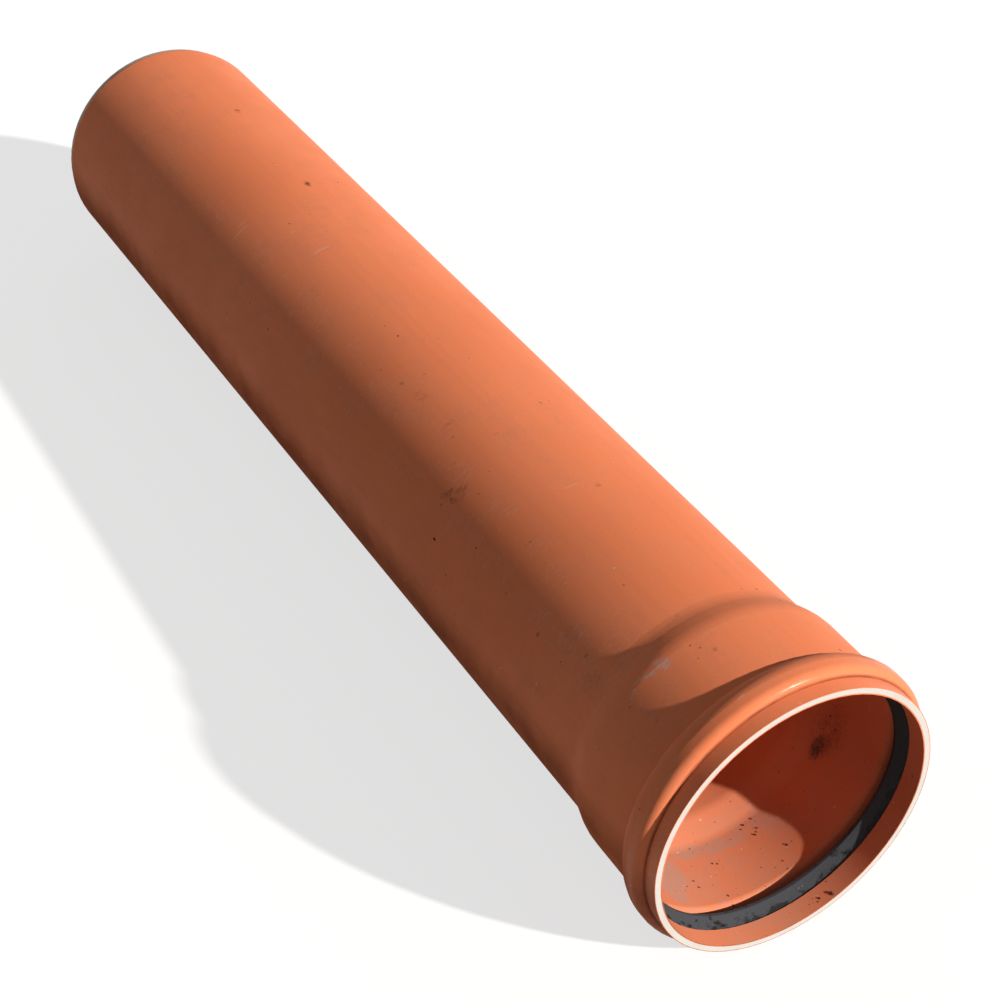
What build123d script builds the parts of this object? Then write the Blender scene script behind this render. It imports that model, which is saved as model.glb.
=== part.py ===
"""Socketed PVC sewer pipe with a rubber lip seal, drawn lying on its side.

The pipe axis runs along X with the socket mouth towards +X. The lowest point of
the bead touches Z = 0, and the origin is under the middle of the pipe's length.
"""

import os
from math import radians, sin, sqrt, tan

from build123d import *

# barrel
outside_diameter = 110.0
barrel_wall = 3.2
laying_length = 500.0
spigot_chamfer_length = 5.0
spigot_chamfer_angle = 15.0

# socket, measured from its mouth inwards
socket_depth = 50.0
socket_clearance = 0.6
socket_wall = 2.9
taper_length = 11.0
taper_run_out = 4.0
taper_radius = 20.0
stop_radius = 10.0
mouth_clearance = 1.6
mouth_wall = 2.9
mouth_land = 8.2

# groove for the seal, and the bead that it makes on the outside
groove_depth = 3.9
groove_width = 11.0
groove_wall = 2.4
groove_crown = 1.2
front_flank_angle = 84.0
back_flank_angle = 52.0
groove_shoulder_radius = 3.0
bead_front_angle = 72.0
bead_crown_height = 0.35
bead_front_radius = 3.8
bead_back_radius = 8.8
bead_foot_radius = 0.6

# rubber seal
seal_clearance = 0.2
seal_back_clearance = 1.2
seal_squeeze = 3.2
seal_lip_land = 1.6
seal_lip_length = 6.1
seal_lip_thickness = 1.4
seal_root_depth = 0.7
seal_root_thickness = 2.6
seal_heel_thickness = 1.6
seal_edge_chamfer = 0.4

# a rounded corner takes at most this share of the shorter of its two sides
corner_reach = 0.8
touching = 0.001

# radii and stations that follow from the sizes above
taper_end = socket_depth + taper_length
overall_length = taper_end + taper_run_out + laying_length
barrel_radius = outside_diameter / 2
barrel_bore_radius = barrel_radius - barrel_wall
chamfer_depth = spigot_chamfer_length * tan(radians(spigot_chamfer_angle))
socket_radius = (outside_diameter + socket_clearance) / 2
socket_outer_radius = socket_radius + socket_wall
mouth_radius = (outside_diameter + mouth_clearance) / 2
mouth_outer_radius = mouth_radius + mouth_wall
groove_radius = mouth_radius + groove_depth
groove_shoulder = groove_radius - groove_crown
groove_end = mouth_land + groove_width
bead_radius = groove_radius + groove_wall
bead_shoulder = bead_radius - bead_crown_height


def front_flank(radius):
    """Station on the groove's mouth-side flank at the given radius."""
    return mouth_land + (radius - mouth_radius) / tan(radians(front_flank_angle))


def back_flank(radius):
    """Station on the groove's inner flank at the given radius."""
    return groove_end - (radius - socket_radius) / tan(radians(back_flank_angle))


def bead_front(radius):
    """Station on the bead's mouth-side face, which leans back from its crease with the land."""
    crease = front_flank(mouth_outer_radius) - groove_wall / sin(radians(front_flank_angle))
    return crease + (radius - mouth_outer_radius) / tan(radians(bead_front_angle))


def bead_back(radius):
    """Station on the bead's barrel-side face, one groove wall outside the flank."""
    return back_flank(radius) + groove_wall / sin(radians(back_flank_angle))


def corner_at(sketch, corner):
    """The profile vertex that lies at the given station and radius."""
    return sketch.vertices().sort_by_distance(Vector(*corner))[0]


def away_from(vertex, side):
    """Direction in which a side leaves one of its end vertices."""
    if (side @ 0 - Vector(vertex)).length < touching:
        return side % 0
    return -(side % 1)


def round_corner(sketch, corner, radius):
    """Round a profile corner, no further than its two sides can carry."""
    vertex = corner_at(sketch, corner)
    sides = [side for side in sketch.edges() if side.distance_to(vertex) < touching]
    opening = away_from(vertex, sides[0]).get_angle(away_from(vertex, sides[1]))
    reach = corner_reach * min(side.length for side in sides)
    fillet(vertex, min(radius, reach * tan(radians(opening / 2))))


# profile plane: its X runs from the mouth towards the spigot, its Y straight down as the radius
mouth_centre = Vector(overall_length / 2, 0, bead_radius)
profile_plane = Plane(origin=mouth_centre, x_dir=(-1, 0, 0), z_dir=(0, -1, 0))
pipe_axis = Axis(mouth_centre, (-1, 0, 0))

# corners of the wall, outside from mouth to spigot and inside on the way back
mouth_outside = (0, mouth_outer_radius)
bead_crease = (bead_front(mouth_outer_radius), mouth_outer_radius)
bead_front_shoulder = (bead_front(bead_shoulder), bead_shoulder)
bead_back_shoulder = (bead_back(bead_shoulder), bead_shoulder)
bead_crown = ((bead_front_shoulder[0] + bead_back_shoulder[0]) / 2, bead_radius)
bead_foot = (bead_back(socket_outer_radius), socket_outer_radius)
taper_top = (socket_depth, socket_outer_radius)
taper_foot = (taper_end, barrel_radius)
chamfer_start = (overall_length - spigot_chamfer_length, barrel_radius)
spigot_outside = (overall_length, barrel_radius - chamfer_depth)
spigot_inside = (overall_length, barrel_bore_radius)
stop_foot = (taper_end, barrel_bore_radius)
stop_top = (socket_depth, socket_radius)
groove_back = (groove_end, socket_radius)
groove_back_corner = (back_flank(groove_shoulder), groove_shoulder)
groove_front_corner = (front_flank(groove_shoulder), groove_shoulder)
groove_middle = ((groove_back_corner[0] + groove_front_corner[0]) / 2, groove_radius)
groove_lip = (mouth_land, mouth_radius)
mouth_inside = (0, mouth_radius)

with BuildPart() as pipe:
    with BuildSketch(profile_plane) as wall_profile:
        with BuildLine():
            Polyline(mouth_outside, bead_crease, bead_front_shoulder)
            ThreePointArc(bead_front_shoulder, bead_crown, bead_back_shoulder)
            Polyline(bead_back_shoulder, bead_foot, taper_top, taper_foot, chamfer_start, spigot_outside)
            Polyline(spigot_outside, spigot_inside, stop_foot, stop_top, groove_back, groove_back_corner)
            ThreePointArc(groove_back_corner, groove_middle, groove_front_corner)
            Polyline(groove_front_corner, groove_lip, mouth_inside, mouth_outside)
        make_face()
        round_corner(wall_profile, bead_front_shoulder, bead_front_radius)
        round_corner(wall_profile, bead_back_shoulder, bead_back_radius)
        round_corner(wall_profile, bead_foot, bead_foot_radius)
        round_corner(wall_profile, taper_top, taper_radius)
        round_corner(wall_profile, taper_foot, taper_radius)
        round_corner(wall_profile, stop_foot, stop_radius)
        round_corner(wall_profile, stop_top, stop_radius)
        round_corner(wall_profile, groove_back, groove_shoulder_radius)
    revolve(axis=pipe_axis)
pipe.part.label = "pipe"

# the groove's floor is an arch, and the seal's heel follows it one clearance below
groove_half_width = (groove_back_corner[0] - groove_front_corner[0]) / 2
groove_arch_radius = (groove_half_width**2 + groove_crown**2) / (2 * groove_crown)


def heel_seat(station):
    """Radius of the seal's heel at the given station, one clearance below the groove floor."""
    arch = groove_arch_radius - seal_clearance
    offset = station - groove_middle[0]
    return groove_radius - groove_arch_radius + sqrt(arch**2 - offset**2)


# seal section: a heel bedded in the groove and a lip that leans inwards from its front
seal_lip_radius = (outside_diameter - seal_squeeze) / 2
seal_root_radius = mouth_radius + seal_root_depth
seal_front_gap = seal_clearance / sin(radians(front_flank_angle))
heel_start = groove_front_corner[0] + seal_front_gap
heel_end = groove_back_corner[0] - seal_back_clearance
root_edge = (front_flank(seal_root_radius) + seal_front_gap, seal_root_radius)
heel_front = (heel_start, heel_seat(heel_start))
heel_crown = (groove_middle[0], groove_radius - seal_clearance)
heel_back = (heel_end, heel_seat(heel_end))
heel_inside = (heel_end, heel_back[1] - seal_heel_thickness)
lip_end = (root_edge[0] + seal_lip_length, seal_lip_radius)
lip_start = (lip_end[0] - seal_lip_land, seal_lip_radius)
lip_back = (lip_end[0], seal_lip_radius + seal_lip_thickness)
lip_root = (root_edge[0] + seal_root_thickness, heel_inside[1])

with BuildPart() as seal_ring:
    with BuildSketch(profile_plane) as seal_profile:
        with BuildLine():
            Polyline(root_edge, heel_front, heel_crown, heel_back, heel_inside)
            Polyline(heel_inside, lip_root, lip_back, lip_end, lip_start, root_edge)
        make_face()
        chamfer(corner_at(seal_profile, heel_inside), seal_edge_chamfer)
        chamfer(corner_at(seal_profile, lip_back), seal_edge_chamfer)
        chamfer(corner_at(seal_profile, lip_end), seal_edge_chamfer)
    revolve(axis=pipe_axis)
seal_ring.part.label = "seal_ring"

os.makedirs("parts", exist_ok=True)
export_step(pipe.part, "parts/pipe.step")
export_step(seal_ring.part, "parts/seal_ring.step")
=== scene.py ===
"""Socketed PVC sewer pipe with its rubber seal, lying on a pale studio floor."""
import random
from math import atan, cos, radians, sin
from types import SimpleNamespace

import bmesh
import bpy
from mathutils import Matrix, Vector


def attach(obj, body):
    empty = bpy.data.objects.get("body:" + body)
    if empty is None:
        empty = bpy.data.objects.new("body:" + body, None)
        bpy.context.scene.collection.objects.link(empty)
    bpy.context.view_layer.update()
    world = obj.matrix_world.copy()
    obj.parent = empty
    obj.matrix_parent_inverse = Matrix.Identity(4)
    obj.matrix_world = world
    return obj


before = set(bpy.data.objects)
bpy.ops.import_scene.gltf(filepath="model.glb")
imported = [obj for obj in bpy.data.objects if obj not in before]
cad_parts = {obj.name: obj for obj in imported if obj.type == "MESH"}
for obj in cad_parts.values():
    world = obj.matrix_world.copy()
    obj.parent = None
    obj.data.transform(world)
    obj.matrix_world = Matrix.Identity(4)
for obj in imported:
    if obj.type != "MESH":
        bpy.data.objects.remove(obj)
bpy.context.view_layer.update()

MM = 0.001
PER_MM = (1 / MM, 1 / MM, 1 / MM)

# the pipe in its own measures, in millimetres: stations run inwards from the socket's mouth
MOUTH_X = 282.5
AXIS_HEIGHT = 62.1
OVERALL_LENGTH = 565.0
BARREL_RADIUS = 55.0
BARREL_BORE = 51.8
SOCKET_OUTER = 58.2
SOCKET_BORE = 55.3
MOUTH_OUTER = 58.7
MOUTH_BORE = 55.8
SEAL_LIP = 53.4
BEAD_RADIUS = 62.1
BEAD_STATION = 12.2
BEAD_CREASE = 6.1
BEAD_END = 20.0
SOCKET_END = 52.0
SPIGOT_CHAMFER = 5.0
INNER_SKIN = 0.45
OUTER_SKIN = 0.3


def linear(red, green, blue):
    """Linear RGBA of an 8-bit display colour."""
    def channel(value):
        value /= 255
        return value / 12.92 if value <= 0.04045 else ((value + 0.055) / 1.055) ** 2.4
    return (channel(red), channel(green), channel(blue), 1.0)


def direction(angle):
    """Unit vector from the axis, at an angle from the top towards +Y."""
    turn = radians(angle)
    return (0.0, sin(turn), cos(turn))


def on_pipe(station, angle, radius):
    """Point in millimetres at a station, an angle from the top and a radius."""
    across, upwards = direction(angle)[1:]
    return Vector((MOUTH_X - station, radius * across, AXIS_HEIGHT + radius * upwards))


class Graph:
    """Short calls that build one material's node tree."""

    MARK_EDGE = (1.0, 0.4, 0.0)

    def __init__(self, name):
        self.material = bpy.data.materials.new(name)
        self.material.use_nodes = True
        self.tree = self.material.node_tree
        self.tree.nodes.clear()

    def node(self, kind, settings=None, inputs=None):
        made = self.tree.nodes.new(kind)
        for name, value in (settings or {}).items():
            setattr(made, name, value)
        for key, value in (inputs or {}).items():
            self.feed(made.inputs[key], value)
        return made

    def feed(self, socket, value):
        if isinstance(value, bpy.types.NodeSocket):
            self.tree.links.new(value, socket)
        else:
            socket.default_value = value

    def math(self, operation, first, second=0.0, third=0.0):
        inputs = {0: first, 1: second, 2: third}
        return self.node("ShaderNodeMath", {"operation": operation}, inputs).outputs[0]

    def vector(self, operation, first, second=(0, 0, 0), third=(0, 0, 0), scale=1.0):
        inputs = {0: first, 1: second, 2: third, 3: scale}
        made = self.node("ShaderNodeVectorMath", {"operation": operation}, inputs)
        return made.outputs["Value" if operation == "LENGTH" else "Vector"]

    def dot(self, first, second):
        inputs = {0: first, 1: second}
        return self.node("ShaderNodeVectorMath", {"operation": "DOT_PRODUCT"}, inputs).outputs["Value"]

    def step(self, value, start, end, low=0.0, high=1.0):
        """Smooth change from low to high while the value goes from start to end."""
        inputs = {"Value": value, "From Min": start, "From Max": end, "To Min": low, "To Max": high}
        return self.node("ShaderNodeMapRange", {"interpolation_type": "SMOOTHSTEP"}, inputs).outputs[0]

    def line(self, value, gain, base):
        """The value times a gain, plus a base."""
        return self.math("MULTIPLY_ADD", value, gain, base)

    def rest(self, value):
        """What is left of one."""
        return self.math("SUBTRACT", 1.0, value)

    def times(self, *values):
        result = values[0]
        for value in values[1:]:
            result = self.math("MULTIPLY", result, value)
        return result

    def most(self, *values):
        result = values[0]
        for value in values[1:]:
            result = self.math("MAXIMUM", result, value)
        return result

    def noise(self, place, size, detail, roughness):
        """Noise whose features are about size millimetres across; size may differ along X and around."""
        along, around = size if isinstance(size, tuple) else (size, size)
        scaled = self.vector("MULTIPLY", place, (1 / along, 1 / around, 1 / around))
        inputs = {"Vector": scaled, "Scale": 1.0, "Detail": detail, "Roughness": roughness}
        return self.node("ShaderNodeTexNoise", None, inputs)

    def cells(self, place, cell):
        """Distance in millimetres to the nearest of scattered points, and three random numbers for it."""
        scaled = self.vector("MULTIPLY", place, (1 / cell, 1 / cell, 1 / cell))
        made = self.node("ShaderNodeTexVoronoi", None, {"Vector": scaled, "Scale": 1.0})
        draws = self.node("ShaderNodeSeparateColor", None, {0: made.outputs["Color"]}).outputs
        return self.math("MULTIPLY", made.outputs["Distance"], cell), draws[0], draws[1], draws[2]

    def mark(self, place, centre, half_along, half_around, strength):
        """A soft-edged mark round a point, with its half sizes along the pipe and around it."""
        scale = Vector((1 / half_along, 1 / half_around, 1 / half_around))
        offset = self.vector("MULTIPLY_ADD", place, tuple(scale), tuple(-centre * scale))
        return self.step(self.vector("LENGTH", offset), *self.MARK_EDGE, strength)

    def blend(self, share, first, second):
        made = self.node("ShaderNodeMix", {"data_type": "RGBA"}, {"Factor": share})
        self.feed(made.inputs[6], first)
        self.feed(made.inputs[7], second)
        return made.outputs[2]

    def bump(self, height, normal):
        """Normal for a relief given in millimetres."""
        inputs = {"Strength": 1.0, "Distance": MM, "Height": height, "Normal": normal}
        return self.node("ShaderNodeBump", None, inputs).outputs["Normal"]

    def finish(self, colour, roughness, normal, **constants):
        shader = self.node("ShaderNodeBsdfPrincipled")
        self.feed(shader.inputs["Base Color"], colour)
        self.feed(shader.inputs["Roughness"], roughness)
        self.feed(shader.inputs["Normal"], normal)
        for name, value in constants.items():
            shader.inputs[name.replace("_", " ")].default_value = value
        output = self.node("ShaderNodeOutputMaterial")
        self.tree.links.new(shader.outputs[0], output.inputs[0])
        return self.material


# a surface counts as inside where its normal points at the axis
FACES_AXIS = (-0.25, -0.5)


def object_place(graph):
    """Position on the object in millimetres."""
    coordinates = graph.node("ShaderNodeTexCoord").outputs["Object"]
    return graph.vector("MULTIPLY", coordinates, PER_MM)


def pipe_places(graph):
    """Where a point lies on the pipe.

    Gives its position in millimetres, station, offset from the axis, radius, slope and inside. The slope
    goes from one at the top to minus one at the bottom, and inside is one where the surface faces the axis.
    """
    place = object_place(graph)
    along = graph.node("ShaderNodeSeparateXYZ", None, {0: place}).outputs["X"]
    station = graph.math("SUBTRACT", MOUTH_X, along)
    offset = graph.vector("MULTIPLY", graph.vector("SUBTRACT", place, (0, 0, AXIS_HEIGHT)), (0, 1, 1))
    radius = graph.vector("LENGTH", offset)
    height = graph.node("ShaderNodeSeparateXYZ", None, {0: offset}).outputs["Z"]
    slope = graph.math("DIVIDE", height, radius)
    normal = graph.node("ShaderNodeNewGeometry").outputs["True Normal"]
    inside = graph.step(graph.math("DIVIDE", graph.dot(offset, normal), radius), *FACES_AXIS)
    return SimpleNamespace(
        place=place, station=station, offset=offset, radius=radius, slope=slope, inside=inside,
    )


def turned_normal(graph, offset):
    """Shading normal of a turned surface, with its facets around the axis smoothed out."""
    outwards = graph.vector("NORMALIZE", offset)
    normal = graph.node("ShaderNodeNewGeometry").outputs["Normal"]
    radial = graph.vector("SCALE", outwards, scale=graph.dot(normal, outwards))
    axial = graph.vector("MULTIPLY", normal, (1, 0, 0))
    return graph.vector("NORMALIZE", graph.vector("ADD", radial, axial))


# marks: station, angle from the top, half size along and around, strength
DARK_MARKS = [
    (401.8, 7.9, 2.2, 1.2, 0.7), (174.0, -62.9, 1.2, 0.7, 1.0),
    (258.4, -30.9, 0.5, 0.7, 0.48), (240.3, -18.2, 0.5, 0.5, 0.42), (200.8, -27.9, 0.5, 0.8, 0.4),
    (198.0, 13.5, 1.3, 0.6, 0.45), (359.2, -57.9, 0.6, 0.6, 0.42), (354.8, -54.9, 0.5, 0.5, 0.5),
    (125.3, -54.8, 0.6, 0.6, 0.42), (159.7, -70.5, 0.6, 0.6, 0.48), (87.7, -18.8, 0.55, 0.55, 0.45),
    (75.8, -47.5, 0.6, 0.6, 0.48), (177.8, -45.8, 0.6, 1.0, 0.5), (180.4, -50.6, 0.7, 0.8, 0.48),
    (168.3, -35.9, 0.6, 0.7, 0.42), (43.5, -47.2, 0.5, 0.5, 0.42), (514.4, -66.4, 0.6, 0.6, 0.42),
]
BROWN_MARKS = [
    (401.8, 7.9, 4.2, 2.3, 0.75), (484.0, 9.4, 3.8, 2.0, 0.6), (244.0, -28.1, 1.5, 1.5, 0.4),
    (231.0, -26.0, 5.0, 3.0, 0.22), (208.0, -26.0, 1.2, 4.0, 0.3),
    (188.5, -13.9, 1.5, 1.5, 0.35), (139.1, 3.2, 1.5, 1.5, 0.4), (62.4, -12.4, 1.2, 1.2, 0.35),
    (38.6, -12.0, 1.4, 1.4, 0.42), (180.6, -44.6, 2.2, 3.4, 0.62), (178.2, -41.6, 1.7, 3.6, 0.52),
    (175.8, -38.2, 1.0, 3.2, 0.45), (176.4, -44.8, 1.6, 2.8, 0.5), (182.6, -47.2, 1.2, 2.0, 0.5),
    (175.4, -41.6, 4.0, 6.0, 0.24), (132.2, -34.5, 0.5, 6.0, 0.24), (100.6, -56.1, 1.5, 1.5, 0.55),
    (75.8, -47.5, 1.3, 1.3, 0.5),
]
PALE_MARKS = [
    (392.5, -36.5, 0.7, 8.0, 0.34), (396.0, -32.5, 0.6, 4.5, 0.3), (347.0, -13.0, 0.7, 6.0, 0.34),
    (144.0, -6.0, 0.7, 4.5, 0.18), (151.8, 19.0, 0.6, 0.6, 0.6), (12.9, -18.0, 0.6, 2.4, 0.4),
    (45.3, -44.6, 0.4, 0.4, 0.6), (41.0, -43.9, 0.4, 0.4, 0.6), (47.2, -42.0, 0.5, 0.5, 0.5),
]
BLUE_MARKS = [(36.0, -43.6, 1.9, 1.2, 0.52), (31.8, -43.3, 1.6, 0.9, 0.52)]
SCUFFS = [
    (48.8, -39.4, 1.0, 2.6, 0.5), (47.6, -36.2, 1.1, 3.2, 0.6), (46.5, -32.8, 1.4, 3.4, 0.65),
    (46.8, -28.6, 2.8, 3.4, 0.6), (44.8, -28.0, 2.2, 2.6, 0.45), (49.2, -30.4, 1.6, 2.4, 0.35),
    (46.0, -43.6, 1.6, 3.0, 0.25),
]

# marks inside the socket
SMUDGES = [
    (48.0, 119.6, 4.2, 7.4, 1.0), (45.2, 116.0, 3.4, 6.0, 0.6), (43.6, 110.6, 4.6, 6.4, 0.34),
    (50.2, 108.6, 3.2, 6.0, 0.3), (47.6, 103.0, 4.0, 7.0, 0.2),
]
SMUDGE_HALO = [(46.5, 110.0, 11.0, 19.0, 1.0)]
DRIFTS = [
    (38.5, -154.5, 14.0, 8.0, 0.75), (30.0, -148.5, 11.0, 8.0, 0.7), (47.4, -170.0, 5.0, 10.0, 0.6),
    (45.6, 179.0, 4.8, 10.0, 0.6), (44.6, 170.5, 4.0, 8.0, 0.5), (46.2, 158.5, 3.8, 6.0, 0.5),
    (53.5, 174.0, 4.0, 16.0, 0.2),
]
GRIT = [
    (57.4, 158.1, 0.5, 0.5, 0.8), (55.9, 160.3, 0.5, 0.5, 0.8), (48.8, -165.6, 0.6, 0.6, 0.85),
    (33.4, -170.5, 0.45, 0.45, 0.8), (39.2, 170.6, 0.45, 0.45, 0.8), (41.3, 151.4, 0.45, 0.45, 0.7),
]


def outer_radius(station):
    """Outside radius of the pipe near a mark, in millimetres."""
    if station < BEAD_END:
        return BEAD_RADIUS
    return SOCKET_OUTER if station < SOCKET_END else BARREL_RADIUS


def marks_mask(graph, place, marks, radius=None):
    """All the marks of a list in one mask, on the outside unless a radius is given."""
    masks = []
    for station, angle, along, around, strength in marks:
        centre = on_pipe(station, angle, radius or outer_radius(station))
        masks.append(graph.mark(place, centre, along, around, strength))
    return graph.most(*masks)


# Below, a range gives a value's start and end for a step, and then low and high where they aren't zero and
# one. A gain gives the gain and the base of a line. A noise gives feature size, detail and roughness.
BROAD_NOISE = ((120.0, 55.0), 1.0, 0.55)
FILM_NOISE = (15.0, 4.0, 0.62)
GRAIN_NOISE = (0.8, 2.0, 0.6)
LINES_NOISE = ((300.0, 3.4), 1.0, 0.5)
CUTS_NOISE = ((0.26, 3.6), 1.0, 0.5)
SHIFT_NOISE = (1.8, 2.0, 0.6)
SHIFT_MIDDLE = (0.5, 0.5, 0.5)
RAGGED_SHIFT = (2.6, 2.6, 2.6)
WOBBLY_SHIFT = (1.1, 1.1, 1.1)
SPECKLE_RANGE = (0.42, 0.62)
IN_SOCKET_RANGE = (68.0, 52.0)
BOTTOM_RANGE = (-0.6, -0.95)
CORNER_START_RANGE = (32.0, 46.0)
CORNER_END_RANGE = (53.0, 49.0)

# the side that has lain on the ground: angle from the top
LAIN_SIDE = 160.0
LAIN_RANGE = (0.0, 0.55)


def facing(g, s, angle):
    """How much the wall at a point lies towards an angle from the top."""
    return g.math("DIVIDE", g.dot(s.offset, direction(angle)), s.radius)


def pvc_fields(g):
    """Places, masks and noises that several layers of the PVC share."""
    s = pipe_places(g)
    s.outside = g.rest(s.inside)
    s.in_socket = g.times(s.inside, g.step(s.station, *IN_SOCKET_RANGE))
    s.bottom = g.step(s.slope, *BOTTOM_RANGE)
    s.in_corner = g.times(
        g.step(s.station, *CORNER_START_RANGE), g.step(s.station, *CORNER_END_RANGE), s.bottom,
    )
    s.lain = g.times(g.step(facing(g, s, LAIN_SIDE), *LAIN_RANGE), s.outside)
    s.broad = g.noise(s.place, *BROAD_NOISE).outputs[0]
    s.film = g.noise(s.place, *FILM_NOISE).outputs[0]
    s.grain = g.noise(s.place, *GRAIN_NOISE).outputs[0]
    s.speckle = g.step(s.grain, *SPECKLE_RANGE)
    s.lines = g.noise(s.place, *LINES_NOISE).outputs[0]
    s.cuts = g.noise(s.place, *CUTS_NOISE).outputs[0]
    shift = g.vector("SUBTRACT", g.noise(s.place, *SHIFT_NOISE).outputs["Color"], SHIFT_MIDDLE)
    s.ragged = g.vector("ADD", s.place, g.vector("MULTIPLY", shift, RAGGED_SHIFT))
    s.wobbly = g.vector("ADD", s.place, g.vector("MULTIPLY", shift, WOBBLY_SHIFT))
    return s


SKIN_DEEP = linear(234, 129, 84)
SKIN_PALE = linear(240, 136, 92)
SKIN_LINE = linear(212, 114, 76)
SKIN_MOTTLE = linear(206, 110, 75)
BORE_LOW = linear(216, 130, 94)
BORE_SHADE = linear(180, 102, 72)
SKIN_RANGE = (0.3, 0.7)
LINES_RANGE = (0.4, 0.75, 0.0, 0.12)
MOTTLE_RANGE = (0.45, 0.75, 0.0, 0.16)
BORE_RANGE = (-0.8, -0.2)
BORE_SHARE = 0.88


def skin_colour(g, s):
    """Slow drift of the orange-brown, faint lines from the extrusion, a fine mottle and a grimy bore that is
    painted darker towards its top as painted shade.
    """
    colour = g.blend(g.step(s.broad, *SKIN_RANGE), SKIN_DEEP, SKIN_PALE)
    colour = g.blend(g.step(s.lines, *LINES_RANGE), colour, SKIN_LINE)
    colour = g.blend(g.step(s.grain, *MOTTLE_RANGE), colour, SKIN_MOTTLE)
    # painted shade: the bore grows darker towards its top
    bore = g.blend(g.step(s.slope, *BORE_RANGE), BORE_LOW, BORE_SHADE)
    return g.blend(g.times(s.inside, BORE_SHARE), colour, bore)


DUST_COLOUR = linear(160, 149, 140)
DUST_RANGE = (0.42, 0.64)
DUST_GAIN = (0.95, 0.15)
DRIFT_GAIN = (0.75, 0.3)
SOCKET_DUST_GAIN = (0.12, 0.12)
CORNER_DUST = 0.3
OUTSIDE_DUST = 0.08


def dust_layer(g, s, colour):
    """A thin grey film, thicker inside the socket and in its inner corner."""
    socket_film = g.line(s.in_corner, CORNER_DUST, g.line(s.bottom, *SOCKET_DUST_GAIN))
    thickness = g.math("ADD", g.times(s.in_socket, socket_film), g.times(s.outside, OUTSIDE_DUST))
    film = g.times(g.step(s.film, *DUST_RANGE), g.line(s.speckle, *DUST_GAIN), thickness)
    drift = g.times(marks_mask(g, s.ragged, DRIFTS, SOCKET_BORE), g.line(s.speckle, *DRIFT_GAIN), s.inside)
    dust = g.most(film, drift)
    return g.blend(dust, colour, DUST_COLOUR), dust


GRIME_COLOUR = linear(150, 88, 64)
GRIME_RANGE = (0.5, 0.7)
GRIME_AREA_RANGE = (0.42, 0.62)
GRIME_GAIN = (0.06, 0.05)
MUD_RANGE = (0.48, 0.66)
MUD_GAIN = (0.24, 0.1)
# painted shade: the underside is darkened as shade would darken it
UNDERSIDE_SHADE_COLOUR = linear(82, 27, 14)
UNDERSIDE_RANGE = (0.18, -0.22)
UNDERSIDE_SHADE_RANGE = (0.35, 0.65, 0.44, 0.54)


def grime_and_shade_layer(g, s, colour):
    """Faint brown patches, mud on the side that has lain on the ground, and a ragged dark band of painted
    shade along the underside.
    """
    grime = g.times(g.step(s.film, *GRIME_RANGE), g.step(s.broad, *GRIME_AREA_RANGE), s.outside)
    grime = g.times(grime, g.line(s.speckle, *GRIME_GAIN))
    mud = g.times(s.lain, g.step(s.film, *MUD_RANGE), g.line(s.speckle, *MUD_GAIN))
    colour = g.blend(g.most(grime, mud), colour, GRIME_COLOUR)
    # painted shade along the underside, broken up by the film noise
    underside_shade = g.times(g.step(s.slope, *UNDERSIDE_RANGE), g.step(s.film, *UNDERSIDE_SHADE_RANGE), s.outside)
    return g.blend(underside_shade, colour, UNDERSIDE_SHADE_COLOUR), underside_shade


# bands of scratches along the barrel, where the band at -42.5 degrees is a painted highlight of grazing
# light on them: angle from the top, strength
WORN_AND_GLINT_BANDS = [(-42.5, 1.0), (128.0, 0.85), (74.0, 0.5)]
WORN_AND_GLINT_RANGE = (0.945, 0.995, 0.07)
WORN_LAIN_SIDE = 0.6
SCRATCH_COLOUR = linear(232, 184, 160)
SCRATCH_CUTS_RANGE = (0.6, 0.69)
SCRATCH_AREA_RANGE = (0.38, 0.58)
SCRATCH_BARREL_RANGE = (44.0, 62.0, 0.4, 1.0)
SCRATCH_SHARE = 0.5


def scratch_layer(g, s, colour):
    """Short scratches around the barrel, thickest along its worn bands; along the band at -42.5 degrees
    their paleness is a painted highlight.
    """
    bands = []
    for angle, strength in WORN_AND_GLINT_BANDS:
        bands.append(g.step(facing(g, s, angle), *WORN_AND_GLINT_RANGE, strength))
    # wear and painted highlight together: the pale scratches gather in these bands
    wear_and_glint = g.most(*bands, g.times(s.lain, WORN_LAIN_SIDE))
    scratch = g.times(
        g.step(s.cuts, *SCRATCH_CUTS_RANGE), g.step(s.film, *SCRATCH_AREA_RANGE),
        g.step(s.station, *SCRATCH_BARREL_RANGE), s.outside,
    )
    return g.blend(g.times(scratch, wear_and_glint, SCRATCH_SHARE), colour, SCRATCH_COLOUR), scratch


BROWN_COLOUR = linear(104, 58, 44)
SMUDGE_COLOUR = linear(66, 66, 66)
BLUE_COLOUR = linear(150, 126, 148)
SCUFF_COLOUR = linear(190, 156, 142)
PALE_COLOUR = linear(222, 190, 174)
PATCH_NOISE = (2.6, 3.0, 0.6)
PATCH_RANGE = (0.38, 0.6, 0.25, 1.0)
SMEAR_GAIN = (0.4, 0.6)
HALO_RANGE = (0.5, 0.64)
HALO_SHARE = 0.5
BLUE_RANGE = (0.4, 0.56)
SCUFF_RANGE = (0.3, 0.62, 0.3, 1.0)
SCUFF_CUTS_RANGE = (0.5, 0.62)


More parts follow.
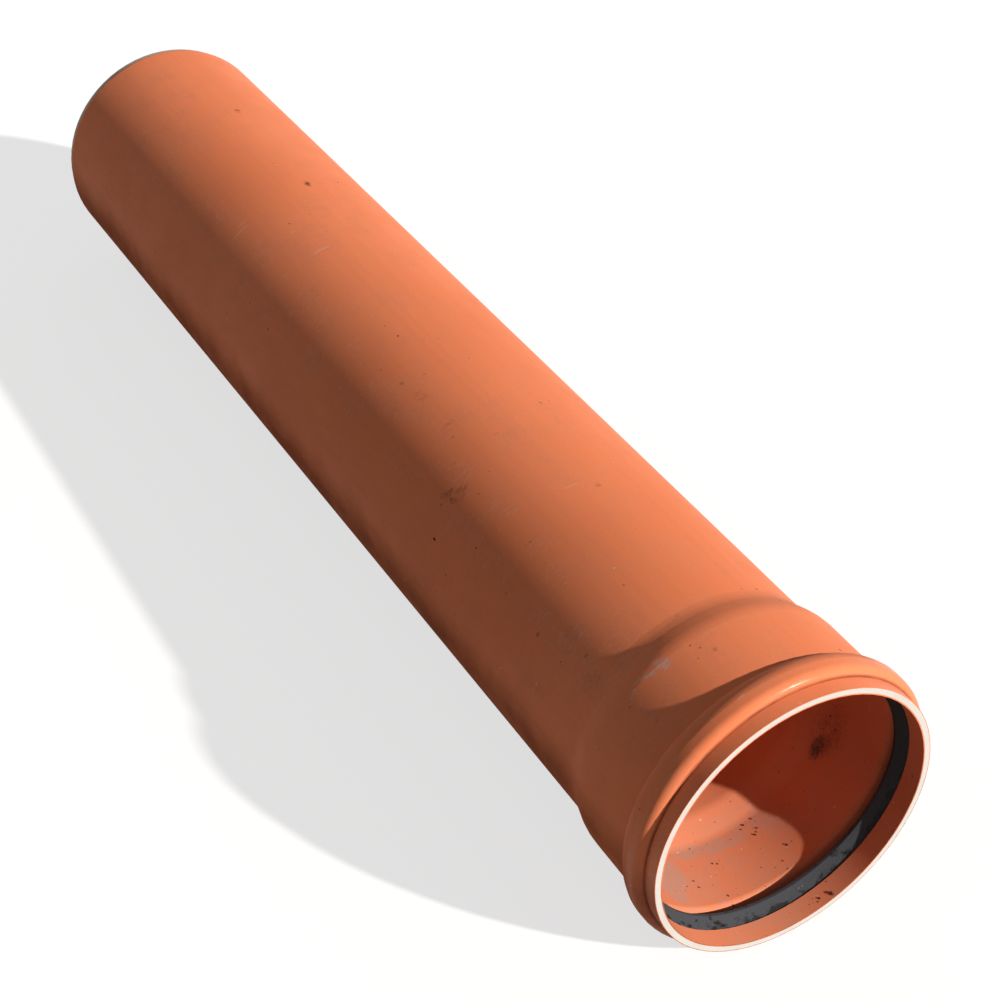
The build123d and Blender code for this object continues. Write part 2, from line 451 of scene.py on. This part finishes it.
def marks_layer(g, s, colour):
    """Larger marks: brown smears, the dark smudge, two blue traces, the scuff and pale nicks."""
    s.halo = g.times(marks_mask(g, s.ragged, SMUDGE_HALO, SOCKET_BORE), s.inside)
    smear = g.line(s.speckle, *SMEAR_GAIN)
    stain = g.times(marks_mask(g, s.ragged, SMUDGES, SOCKET_BORE), smear)
    stain = g.most(stain, g.times(s.halo, g.step(s.grain, *HALO_RANGE), HALO_SHARE))
    patch = g.step(g.noise(s.place, *PATCH_NOISE).outputs[0], *PATCH_RANGE)
    brown = g.times(marks_mask(g, s.ragged, BROWN_MARKS), patch)
    colour = g.blend(g.times(brown, smear), colour, BROWN_COLOUR)
    colour = g.blend(g.times(stain, s.inside), colour, SMUDGE_COLOUR)
    blue = g.times(marks_mask(g, s.ragged, BLUE_MARKS), g.step(s.grain, *BLUE_RANGE))
    colour = g.blend(blue, colour, BLUE_COLOUR)
    scuff = g.times(marks_mask(g, s.ragged, SCUFFS), g.step(s.grain, *SCUFF_RANGE), s.outside)
    colour = g.blend(scuff, colour, SCUFF_COLOUR)
    grit = g.times(marks_mask(g, s.wobbly, GRIT, SOCKET_BORE), s.inside)
    scuff_cuts = g.times(scuff, g.step(s.cuts, *SCUFF_CUTS_RANGE))
    pale = g.most(marks_mask(g, s.wobbly, PALE_MARKS), grit, scuff_cuts)
    return g.blend(pale, colour, PALE_COLOUR), g.most(brown, pale)


PALE_SPECK_COLOUR = linear(226, 190, 170)
FINE_PALE_COLOUR = linear(206, 178, 160)
DARK_COLOUR = linear(52, 32, 28)
SPECK_CELL = 3.2
SPECK_REACH_GAIN = (0.4, 0.16)
SPECK_EDGE_RANGE = (0.06, -0.1)
SPECK_AREA_RANGE = (0.36, 0.62, 0.3, 1.0)
SPECK_BOTTOM_GAIN = (0.45, 0.4)
LAIN_SPECKS = 0.08
SPARSE_SPECKS = 0.08
PALE_FROM = 0.76
PALE_SPECK_SHARE = 0.7
DARK_SPECK_GAIN = (0.6, 0.35)
FINE_CELL = 1.5
FINE_REACH_GAIN = (0.16, 0.08)
FINE_EDGE_RANGE = (0.06, -0.06)
FINE_BOTTOM_GAIN = (0.14, 0.12)
FINE_CORNER = 0.35
FINE_PALE_FROM = 0.62
FINE_PALE_SHARE = 0.6
FINE_DARK_SHARE = 0.8


def speck_layer(g, s, colour):
    """Scattered specks, sparse outside and gathered inside the socket, and the dark marks."""
    distance, chance, kind, size = g.cells(s.wobbly, SPECK_CELL)
    reach = g.line(g.times(size, size), *SPECK_REACH_GAIN)
    gathered = g.times(
        s.in_socket, g.step(s.film, *SPECK_AREA_RANGE), g.line(s.bottom, *SPECK_BOTTOM_GAIN),
    )
    crowd = g.math("ADD", g.most(gathered, s.halo, g.times(s.lain, LAIN_SPECKS)), SPARSE_SPECKS)
    blot = g.step(g.math("SUBTRACT", distance, reach), *SPECK_EDGE_RANGE)
    speck = g.times(blot, g.math("LESS_THAN", chance, crowd))
    is_pale = g.math("GREATER_THAN", kind, PALE_FROM)
    colour = g.blend(g.times(speck, is_pale, PALE_SPECK_SHARE), colour, PALE_SPECK_COLOUR)
    s.dark_speck = g.times(speck, g.rest(is_pale), g.line(kind, *DARK_SPECK_GAIN))

    near, luck, shade, spread = g.cells(s.wobbly, FINE_CELL)
    fine_reach = g.line(spread, *FINE_REACH_GAIN)
    in_bottom = g.line(s.bottom, *FINE_BOTTOM_GAIN)
    fine_crowd = g.times(s.in_socket, g.line(s.in_corner, FINE_CORNER, in_bottom))
    fine_blot = g.step(g.math("SUBTRACT", near, fine_reach), *FINE_EDGE_RANGE)
    fine = g.times(fine_blot, g.math("LESS_THAN", luck, fine_crowd))
    fine_pale = g.times(fine, g.math("GREATER_THAN", shade, FINE_PALE_FROM), FINE_PALE_SHARE)
    colour = g.blend(fine_pale, colour, FINE_PALE_COLOUR)
    fine_dark = g.times(fine, g.math("LESS_THAN", shade, FINE_PALE_FROM), FINE_DARK_SHARE)

    dark = g.most(marks_mask(g, s.wobbly, DARK_MARKS), s.dark_speck, fine_dark)
    return g.blend(dark, colour, DARK_COLOUR), dark


# painted shade: the crease in front of the bead is darkened
CREASE_SHADE_COLOUR = linear(96, 48, 33)
CREASE_RANGE = (0.45, 0.05)
CREASE_SHARE_RANGE = (0.35, 0.6, 0.55, 0.75)


def crease_shade_layer(g, s, colour):
    """Painted shade in the crease in front of the bead, patchy with the film noise."""
    away = g.math("ABSOLUTE", g.math("SUBTRACT", s.station, BEAD_CREASE))
    crease_shade = g.times(g.step(away, *CREASE_RANGE), s.outside)
    return g.blend(g.times(crease_shade, g.step(s.film, *CREASE_SHARE_RANGE)), colour, CREASE_SHADE_COLOUR)


CORE_WHITE = linear(207, 202, 195)
CORE_TAN = linear(198, 178, 160)
CORE_GREY = linear(190, 182, 172)
CORE_SPECK_COLOUR = linear(120, 92, 76)
CORE_TAN_RANGE = (0.45, 0.75, 0.0, 0.4)
CORE_GREY_RANGE = (0.5, 0.8, 0.0, 0.5)
CORE_SPECK_SHARE = 0.5
CORE_SOFT = 0.07
CORE_WAVER_GAIN = (0.16, -0.08)
MOUTH_FACE = 0.2
SPIGOT_SKIN_RUN = 1.9


def core_layer(g, s, colour):
    """White foamed core on the two cut ends, between the coloured skins."""
    def above(value, edge):
        return g.step(value, edge - CORE_SOFT, edge + CORE_SOFT)

    def below(value, edge):
        return g.step(value, edge + CORE_SOFT, edge - CORE_SOFT)

    waver = g.math("ADD", s.radius, g.line(s.grain, *CORE_WAVER_GAIN))
    between = g.times(above(waver, MOUTH_BORE + INNER_SKIN), below(waver, MOUTH_OUTER - OUTER_SKIN))
    at_mouth = g.times(g.math("LESS_THAN", s.station, MOUTH_FACE), between)
    spigot_start = OVERALL_LENGTH - SPIGOT_CHAMFER + SPIGOT_SKIN_RUN
    at_spigot = g.times(above(s.station, spigot_start), above(waver, BARREL_BORE + INNER_SKIN))
    core = g.most(at_mouth, at_spigot)
    core_colour = g.blend(g.step(s.film, *CORE_TAN_RANGE), CORE_WHITE, CORE_TAN)
    core_colour = g.blend(g.step(s.grain, *CORE_GREY_RANGE), core_colour, CORE_GREY)
    core_colour = g.blend(g.times(s.dark_speck, CORE_SPECK_SHARE), core_colour, CORE_SPECK_COLOUR)
    return g.blend(core, colour, core_colour), core


# roughness of the skin, and what gloss, dirt and the painted shade on the underside change about it
GLOSS_RANGE = (0.3, 0.7, 0.5, 0.6)
BEAD_FRONT_RANGE = (14.5, 11.5)
BEAD_GLOSS = -0.28
SCRATCH_DULL = 0.5
DIRT_DULL = 0.25
UNDERSIDE_SHADE_DULL = 0.7

# relief of the skin, in millimetres
GRAIN_RELIEF = 0.01
LINE_RELIEF = 0.03
CUT_RELIEF = 0.012
CUT_RANGE = (0.6, 0.7)

PVC_SPECULAR = 0.08


def pvc_material():
    """Orange-brown foam-core PVC: satin skin, scratches, dust and dirt, painted shade and a painted
    highlight, and a white core at the cut ends.
    """
    g = Graph("pipe_pvc")
    s = pvc_fields(g)
    colour = skin_colour(g, s)
    colour, dust = dust_layer(g, s, colour)
    colour, underside_shade = grime_and_shade_layer(g, s, colour)
    colour, scratch = scratch_layer(g, s, colour)
    colour, marked = marks_layer(g, s, colour)
    colour, dark = speck_layer(g, s, colour)
    colour = crease_shade_layer(g, s, colour)
    colour, core = core_layer(g, s, colour)

    dull = g.most(dust, g.times(scratch, SCRATCH_DULL), marked, dark, core)
    on_bead = g.times(g.step(s.station, *BEAD_FRONT_RANGE), s.outside)
    gloss = g.math("ADD", g.step(s.film, *GLOSS_RANGE), g.times(on_bead, BEAD_GLOSS))
    roughness = g.line(underside_shade, UNDERSIDE_SHADE_DULL, g.line(dull, DIRT_DULL, gloss))
    relief = g.line(s.grain, GRAIN_RELIEF, g.times(s.lines, LINE_RELIEF))
    relief = g.line(g.step(s.cuts, *CUT_RANGE), -CUT_RELIEF, relief)
    normal = g.bump(relief, turned_normal(g, s.offset))
    return g.finish(colour, roughness, normal, Specular_IOR_Level=PVC_SPECULAR)


RUBBER_BLACK = linear(19, 15, 14)
RUBBER_DUST = linear(66, 68, 72)
RUBBER_CRUMB = linear(140, 112, 92)
RUBBER_GRAIN_NOISE = (0.6, 2.0, 0.65)
RUBBER_BLOTCH_NOISE = ((3.2, 6.5), 5.0, 0.66)
RUBBER_MOULDING_NOISE = ((0.8, 26.0), 1.0, 0.5)
RUBBER_BOTTOM_RANGE = (0.0, -0.7, 0.1, 1.0)
RUBBER_EDGE_RANGE = (11.6, 9.4, 0.0, 0.13)
RUBBED_RANGE = (0.57, 0.7)
RUBBER_FILM_RANGE = (0.25, 0.7, 0.75, 1.0)
RUBBER_CELL = 2.4
RUBBER_CRUMB_RANGE = (0.34, 0.16)
RUBBER_CRUMBS = 0.06
RUBBER_ROUGHNESS_GAIN = (0.2, 0.52)
RUBBER_SPECULAR = 0.12

# relief of the rubber, in millimetres
RUBBER_GRAIN_RELIEF = 0.02
RUBBER_MOULDING_RELIEF = 0.04
RUBBER_CRUMB_RELIEF = 0.1


def rubber_material():
    """Black rubber under a film of grey dust, rubbed off in ragged places along its mouth-side edge."""
    g = Graph("seal_rubber")
    s = pipe_places(g)
    grain = g.noise(s.place, *RUBBER_GRAIN_NOISE).outputs[0]
    blotch = g.noise(s.place, *RUBBER_BLOTCH_NOISE).outputs[0]
    moulding = g.noise(s.place, *RUBBER_MOULDING_NOISE).outputs[0]
    bottom = g.step(s.slope, *RUBBER_BOTTOM_RANGE)
    rubbed = g.step(g.math("ADD", blotch, g.step(s.station, *RUBBER_EDGE_RANGE)), *RUBBED_RANGE)
    film = g.times(g.rest(rubbed), g.step(grain, *RUBBER_FILM_RANGE), bottom)
    colour = g.blend(film, RUBBER_BLACK, RUBBER_DUST)
    distance, chance = g.cells(s.place, RUBBER_CELL)[:2]
    blot = g.step(distance, *RUBBER_CRUMB_RANGE)
    crumb = g.times(blot, g.math("LESS_THAN", chance, RUBBER_CRUMBS), bottom)
    colour = g.blend(crumb, colour, RUBBER_CRUMB)
    roughness = g.line(film, *RUBBER_ROUGHNESS_GAIN)
    relief = g.line(grain, RUBBER_GRAIN_RELIEF, g.times(moulding, RUBBER_MOULDING_RELIEF))
    relief = g.line(crumb, RUBBER_CRUMB_RELIEF, relief)
    normal = g.bump(relief, turned_normal(g, s.offset))
    return g.finish(colour, roughness, normal, Specular_IOR_Level=RUBBER_SPECULAR)


SOIL_DARK = linear(46, 33, 28)
SOIL_BROWN = linear(92, 62, 46)
SOIL_GRAIN = linear(140, 112, 90)
SOIL_GRAIN_NOISE = (0.35, 3.0, 0.65)
SOIL_PATCH_NOISE = (3.0, 1.0, 0.55)
SOIL_PATCH_RANGE = (0.4, 0.6)
SOIL_GRAIN_RANGE = (0.55, 0.7, 0.0, 0.6)
SOIL_ROUGHNESS_RANGE = (0.3, 0.7, 0.75, 0.95)
SOIL_RELIEF = 0.12
SOIL_SPECULAR = 0.2


def soil_material():
    """Dry soil: dark brown with paler mineral grains."""
    g = Graph("soil")
    place = object_place(g)
    grain = g.noise(place, *SOIL_GRAIN_NOISE).outputs[0]
    patch = g.noise(place, *SOIL_PATCH_NOISE).outputs[0]
    colour = g.blend(g.step(patch, *SOIL_PATCH_RANGE), SOIL_DARK, SOIL_BROWN)
    colour = g.blend(g.step(grain, *SOIL_GRAIN_RANGE), colour, SOIL_GRAIN)
    roughness = g.step(grain, *SOIL_ROUGHNESS_RANGE)
    normal = g.bump(g.times(grain, SOIL_RELIEF), g.node("ShaderNodeNewGeometry").outputs["Normal"])
    return g.finish(colour, roughness, normal, Specular_IOR_Level=SOIL_SPECULAR)


# the two CAD nodes keep their shapes and get their finishes
for name, material in (("pipe", pvc_material()), ("seal_ring", rubber_material())):
    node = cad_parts[name]
    node.data.materials.clear()
    node.data.materials.append(material)

# crumbs of soil that lie inside the socket: station, angle, radius of the wall under them, half size
CRUMBS = [
    (47.7, 163.7, SOCKET_BORE, 0.43), (46.6, 165.6, SOCKET_BORE, 0.27), (41.2, 162.7, SOCKET_BORE, 0.39),
    (38.8, -175.1, SOCKET_BORE, 0.35), (37.8, -176.8, SOCKET_BORE, 0.27), (22.3, -170.8, SOCKET_BORE, 0.39),
    (29.4, 156.0, SOCKET_BORE, 0.43), (27.7, 169.8, SOCKET_BORE, 0.23), (48.9, -171.4, SOCKET_BORE, 0.27),
    (31.0, -157.0, SOCKET_BORE, 0.23), (43.2, 160.4, SOCKET_BORE, 0.31), (48.0, 159.6, SOCKET_BORE, 0.31),
    (3.2, 160.5, MOUTH_BORE, 0.39), (2.4, 161.8, MOUTH_BORE, 0.27), (1.7, 155.8, MOUTH_BORE, 0.74),
    (13.8, -172.7, SEAL_LIP, 0.43), (13.6, -145.5, SEAL_LIP, 0.31), (13.9, -166.0, SEAL_LIP, 0.23),
]
CRUMB_SEED = 7
CRUMB_SUNK = 0.45
CRUMB_UNEVEN = 0.3
CRUMB_SUBDIVISIONS = 2
CRUMB_LENGTH = (0.8, 1.3)
CRUMB_WIDTH = (0.7, 1.1)
CRUMB_HEIGHT = (0.6, 0.9)
FULL_TURN = 6.28


def add_crumb(mesh, centre, size, draw):
    """One lump of soil: a coarse ball pushed in and out at each of its points, and flattened at random."""
    shape = Vector((draw.uniform(*CRUMB_LENGTH), draw.uniform(*CRUMB_WIDTH), draw.uniform(*CRUMB_HEIGHT)))
    turn = Matrix.Rotation(draw.uniform(0, FULL_TURN), 3, "X")
    ball = bmesh.ops.create_icosphere(mesh, subdivisions=CRUMB_SUBDIVISIONS, radius=1.0)
    for vertex in ball["verts"]:
        push = 1 + CRUMB_UNEVEN * draw.uniform(-1, 1)
        local = vertex.co * push * shape
        vertex.co = (centre + turn @ local * size) * MM


def add_object(name, data):
    """A new object of the scene that shows the data."""
    made = bpy.data.objects.new(name, data)
    bpy.context.scene.collection.objects.link(made)
    return made


crumb_draw = random.Random(CRUMB_SEED)
crumbs = bmesh.new()
for station, angle, wall, size in CRUMBS:
    add_crumb(crumbs, on_pipe(station, angle, wall - size * CRUMB_SUNK), size, crumb_draw)
crumb_mesh = bpy.data.meshes.new("soil_crumbs")
crumbs.to_mesh(crumb_mesh)
crumbs.free()
crumb_mesh.materials.append(soil_material())
soil = add_object("soil_crumbs", crumb_mesh)
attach(soil, "root")

FLOOR_COLOUR = linear(164, 163, 161)
FLOOR_GLOW = 0.7
FLOOR_HALF = 20.0
WHITE = (1, 1, 1, 1)


def floor_material():
    """Pale floor that shows white where nothing shades it."""
    g = Graph("studio_floor")
    rays = g.node("ShaderNodeLightPath").outputs
    seen = g.most(rays["Is Camera Ray"], rays["Is Glossy Ray"], rays["Is Transmission Ray"])
    diffuse = g.node("ShaderNodeBsdfDiffuse", None, {"Color": FLOOR_COLOUR}).outputs[0]
    strength = g.times(seen, FLOOR_GLOW)
    glow = g.node("ShaderNodeEmission", None, {"Color": WHITE, "Strength": strength}).outputs[0]
    both = g.node("ShaderNodeAddShader", None, {0: diffuse, 1: glow}).outputs[0]
    output = g.node("ShaderNodeOutputMaterial")
    g.tree.links.new(both, output.inputs[0])
    return g.material


# floor: it carries the bead at one end and the spigot at the other
bead_x = MOUTH_X - BEAD_STATION
spigot_x = MOUTH_X - OVERALL_LENGTH + SPIGOT_CHAMFER
floor_slope = atan((BEAD_RADIUS - BARREL_RADIUS) / (bead_x - spigot_x))
floor_mesh = bpy.data.meshes.new("studio_floor")
corners = [(x * FLOOR_HALF, y * FLOOR_HALF, 0) for x, y in ((-1, -1), (1, -1), (1, 1), (-1, 1))]
floor_mesh.from_pydata(corners, [], [(0, 1, 2, 3)])
floor = add_object("studio_floor", floor_mesh)
floor.matrix_world = Matrix.Translation((bead_x * MM, 0, 0)) @ Matrix.Rotation(floor_slope, 4, "Y")
floor_mesh.materials.append(floor_material())

# light: one soft key low from the front right, and an even fill
TO_KEY = Vector((0.776, 0.443, 0.449))
KEY_STRENGTH = 5.0
KEY_SPREAD = 1.5
KEY_COLOUR = (1.0, 0.975, 0.94)
FILL_STRENGTH = 0.165
FILL_COLOUR = (0.97, 0.985, 1.0, 1.0)

key_data = bpy.data.lights.new("key", "SUN")
key_data.energy = KEY_STRENGTH
key_data.angle = radians(KEY_SPREAD)
key_data.color = KEY_COLOUR
key = add_object("key", key_data)
key.rotation_euler = TO_KEY.to_track_quat("Z", "Y").to_euler()

# world: the fill for the light, and plain white where it is seen
world = bpy.data.worlds.new("studio")
bpy.context.scene.world = world
world.use_nodes = True
tree = world.node_tree
tree.nodes.clear()
path = tree.nodes.new("ShaderNodeLightPath").outputs
shown = path["Is Camera Ray"]
for kind in ("Is Glossy Ray", "Is Transmission Ray"):
    widest = tree.nodes.new("ShaderNodeMath")
    widest.operation = "MAXIMUM"
    tree.links.new(shown, widest.inputs[0])
    tree.links.new(path[kind], widest.inputs[1])
    shown = widest.outputs[0]
fill = tree.nodes.new("ShaderNodeBackground")
fill.inputs["Color"].default_value = FILL_COLOUR
fill.inputs["Strength"].default_value = FILL_STRENGTH
white = tree.nodes.new("ShaderNodeBackground")
white.inputs["Color"].default_value = WHITE
white.inputs["Strength"].default_value = 1.0
either = tree.nodes.new("ShaderNodeMixShader")
tree.links.new(shown, either.inputs[0])
tree.links.new(fill.outputs[0], either.inputs[1])
tree.links.new(white.outputs[0], either.inputs[2])
surface = tree.nodes.new("ShaderNodeOutputWorld")
tree.links.new(either.outputs[0], surface.inputs[0])

# camera at the photograph's viewing angle: place in millimetres, and its own right and up
CAMERA_PLACE = Vector((676.6, -343.8, 605.0))
CAMERA_RIGHT = Vector((0.49561, 0.86855, 0.0))
CAMERA_UP = Vector((-0.53411, 0.30479, 0.78857))
CAMERA_LENS = 76.17
CAMERA_SENSOR = 36.0
CAMERA_NEAR = 0.01
CAMERA_FAR = 100.0

camera_data = bpy.data.cameras.new("camera")
camera_data.lens = CAMERA_LENS
camera_data.sensor_width = CAMERA_SENSOR
camera_data.sensor_fit = "HORIZONTAL"
camera_data.clip_start = CAMERA_NEAR
camera_data.clip_end = CAMERA_FAR
camera = add_object("camera", camera_data)
camera_back = CAMERA_RIGHT.cross(CAMERA_UP)
camera_turn = Matrix((CAMERA_RIGHT, CAMERA_UP, camera_back)).transposed().to_4x4()
camera.matrix_world = Matrix.Translation(CAMERA_PLACE * MM) @ camera_turn
bpy.context.scene.camera = camera
bpy.context.scene.view_settings.view_transform = "Standard"
